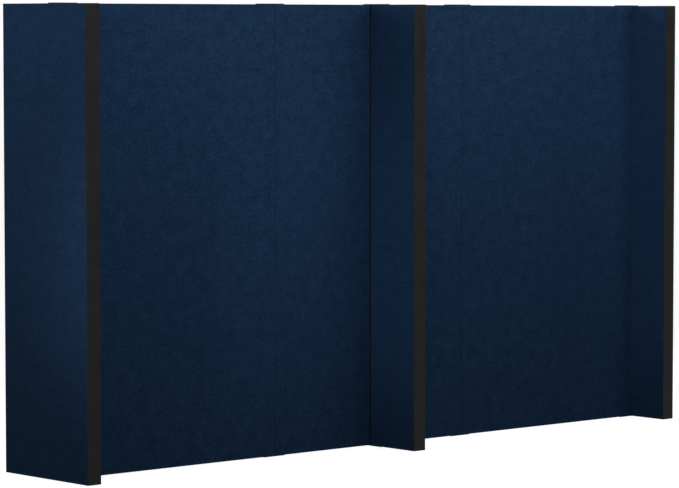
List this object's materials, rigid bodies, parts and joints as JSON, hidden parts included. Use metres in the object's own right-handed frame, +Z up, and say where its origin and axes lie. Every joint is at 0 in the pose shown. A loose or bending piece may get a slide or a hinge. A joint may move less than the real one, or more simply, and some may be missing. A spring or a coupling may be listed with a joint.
{
  "type": "modular partition wall",
  "caption": "Free-standing felt-faced partition wall: slide-together panels in a row, with cross fins that stand it up and divide it into bays.",
  "frame": {"origin": "middle of the overall plan, on the floor under the connector feet and glides", "axes": "+X along the wall, to the right seen from the front; +Y to the back of the wall; +Z up"},
  "size_m": [3.8116, 0.6986, 2.1406],
  "materials": {
    "wall_felt": "navy needle felt, matt, with a fine mottle",
    "core_board": "light expanded foam board",
    "rail_timber": "softwood stained black-brown, matt",
    "channel_plastic": "black extruded plastic, matt",
    "connector_plastic": "black extruded plastic, satin",
    "trim_plastic": "charcoal extruded plastic, matt with a fine grain",
    "plate_plastic": "black moulded plastic",
    "screw_steel": "blackened steel",
    "glide_plastic": "dark nylon"
  },
  "bodies": {
    "root": {"connector_caps": "plate_plastic", "connector_feet": "plate_plastic", "floor_glides": "glide_plastic", "left_fin_back_edge": "channel_plastic", "left_fin_back_trim": "trim_plastic", "left_fin_bottom_rail": "rail_timber", "left_fin_connector": "connector_plastic", "left_fin_core": "core_board", "left_fin_face_slot": "channel_plastic", "left_fin_front_edge": "channel_plastic", "left_fin_front_trim": "trim_plastic", "left_fin_inner_face": "wall_felt", "left_fin_outer_face": "wall_felt", "left_fin_top_rail": "rail_timber", "left_panel_back_face": "wall_felt", "left_panel_bottom_rail": "rail_timber", "left_panel_core": "core_board", "left_panel_front_face": "wall_felt", "left_panel_left_edge": "channel_plastic", "left_panel_right_edge": "channel_plastic", "left_panel_top_rail": "rail_timber", "left_seam_connector": "connector_plastic", "middle_fin_back_edge": "channel_plastic", "middle_fin_bottom_rail": "rail_timber", "middle_fin_connector": "connector_plastic", "middle_fin_core": "core_board", "middle_fin_front_edge": "channel_plastic", "middle_fin_front_trim": "trim_plastic", "middle_fin_left_face": "wall_felt", "middle_fin_right_face": "wall_felt", "middle_fin_top_rail": "rail_timber", "middle_panel_back_face": "wall_felt", "middle_panel_bottom_rail": "rail_timber", "middle_panel_core": "core_board", "middle_panel_face_slot": "channel_plastic", "middle_panel_front_face": "wall_felt", "middle_panel_left_edge": "channel_plastic", "middle_panel_right_edge": "channel_plastic", "middle_panel_top_rail": "rail_timber", "plate_screws": "screw_steel", "right_fin_back_edge": "channel_plastic", "right_fin_back_trim": "trim_plastic", "right_fin_bottom_rail": "rail_timber", "right_fin_connector": "connector_plastic", "right_fin_core": "core_board", "right_fin_face_slot": "channel_plastic", "right_fin_front_edge": "channel_plastic", "right_fin_front_trim": "trim_plastic", "right_fin_inner_face": "wall_felt", "right_fin_outer_face": "wall_felt", "right_fin_top_rail": "rail_timber", "right_panel_back_face": "wall_felt", "right_panel_bottom_rail": "rail_timber", "right_panel_core": "core_board", "right_panel_front_face": "wall_felt", "right_panel_left_edge": "channel_plastic", "right_panel_right_edge": "channel_plastic", "right_panel_top_rail": "rail_timber", "right_seam_connector": "connector_plastic"}
  },
  "joints": []
}
